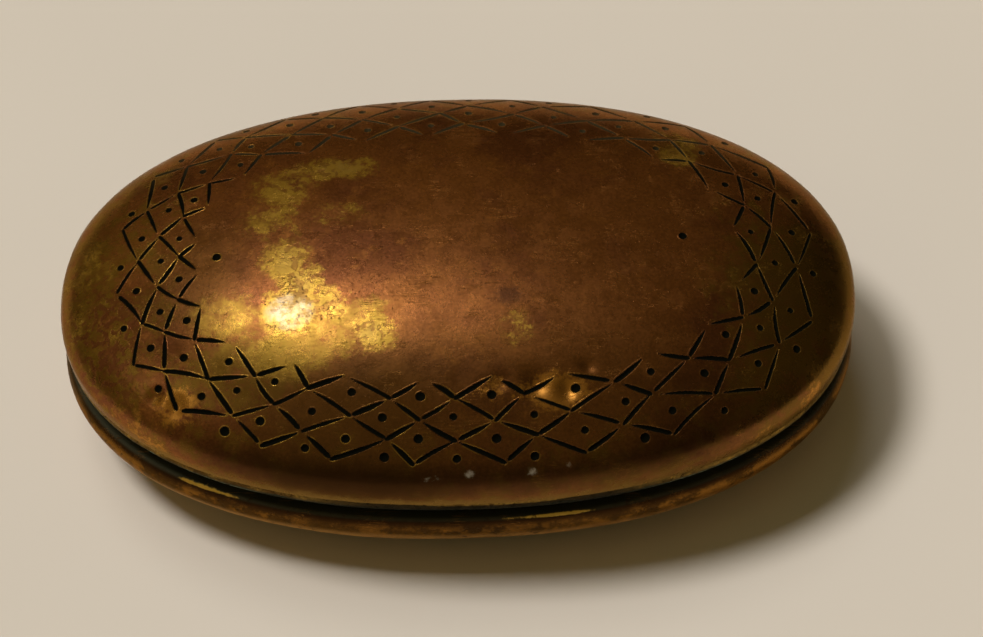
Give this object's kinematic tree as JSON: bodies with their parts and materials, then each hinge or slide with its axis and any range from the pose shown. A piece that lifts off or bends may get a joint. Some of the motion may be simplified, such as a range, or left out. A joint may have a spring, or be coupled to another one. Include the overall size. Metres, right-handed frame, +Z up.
{
  "type": "snuff box",
  "caption": "Oval metal snuff box with a high domed lid, a shallow rounded base, an inner collar and a knuckle hinge along the back.",
  "frame": {"origin": "centre of the flat oval face that the box rests on", "axes": "+Z up, +X along the long side, +Y from the front towards the hinge"},
  "size_m": [0.0862, 0.055, 0.0242],
  "materials": {
    "patinated_lid": "hand-raised copper alloy with a smooth brown patina, worn to yellow in patches",
    "worn_band": "brass strip rubbed yellow, with dark pits",
    "patinated_base": "orange-brown patina with rubbed edges",
    "tarnished_bezel": "dark tarnish with grey-green verdigris",
    "hinge_brass": "drawn brass tube and strip, brown in the corners"
  },
  "bodies": {
    "base": {"base_shell": "patinated_base", "base_bezel": "tarnished_bezel", "stop_wire": "tarnished_bezel", "base_hinge_leaf": "hinge_brass", "base_knuckle_left": "hinge_brass", "base_knuckle_centre": "hinge_brass", "base_knuckle_right": "hinge_brass", "hinge_pin": "hinge_brass", "pin_head_left": "hinge_brass", "pin_head_right": "hinge_brass"},
    "lid": {"lid_shell": "patinated_lid", "lid_edge_band": "worn_band", "lid_hinge_leaf": "hinge_brass", "lid_knuckle_left": "hinge_brass", "lid_knuckle_right": "hinge_brass"}
  },
  "joints": [
    {"name": "lid_hinge", "type": "hinge", "parent": "base", "child": "lid", "pos_m": [0, 0.0273, 0.0119], "axis": [-1, 0, 0], "range_deg": [0, 105]}
  ]
}
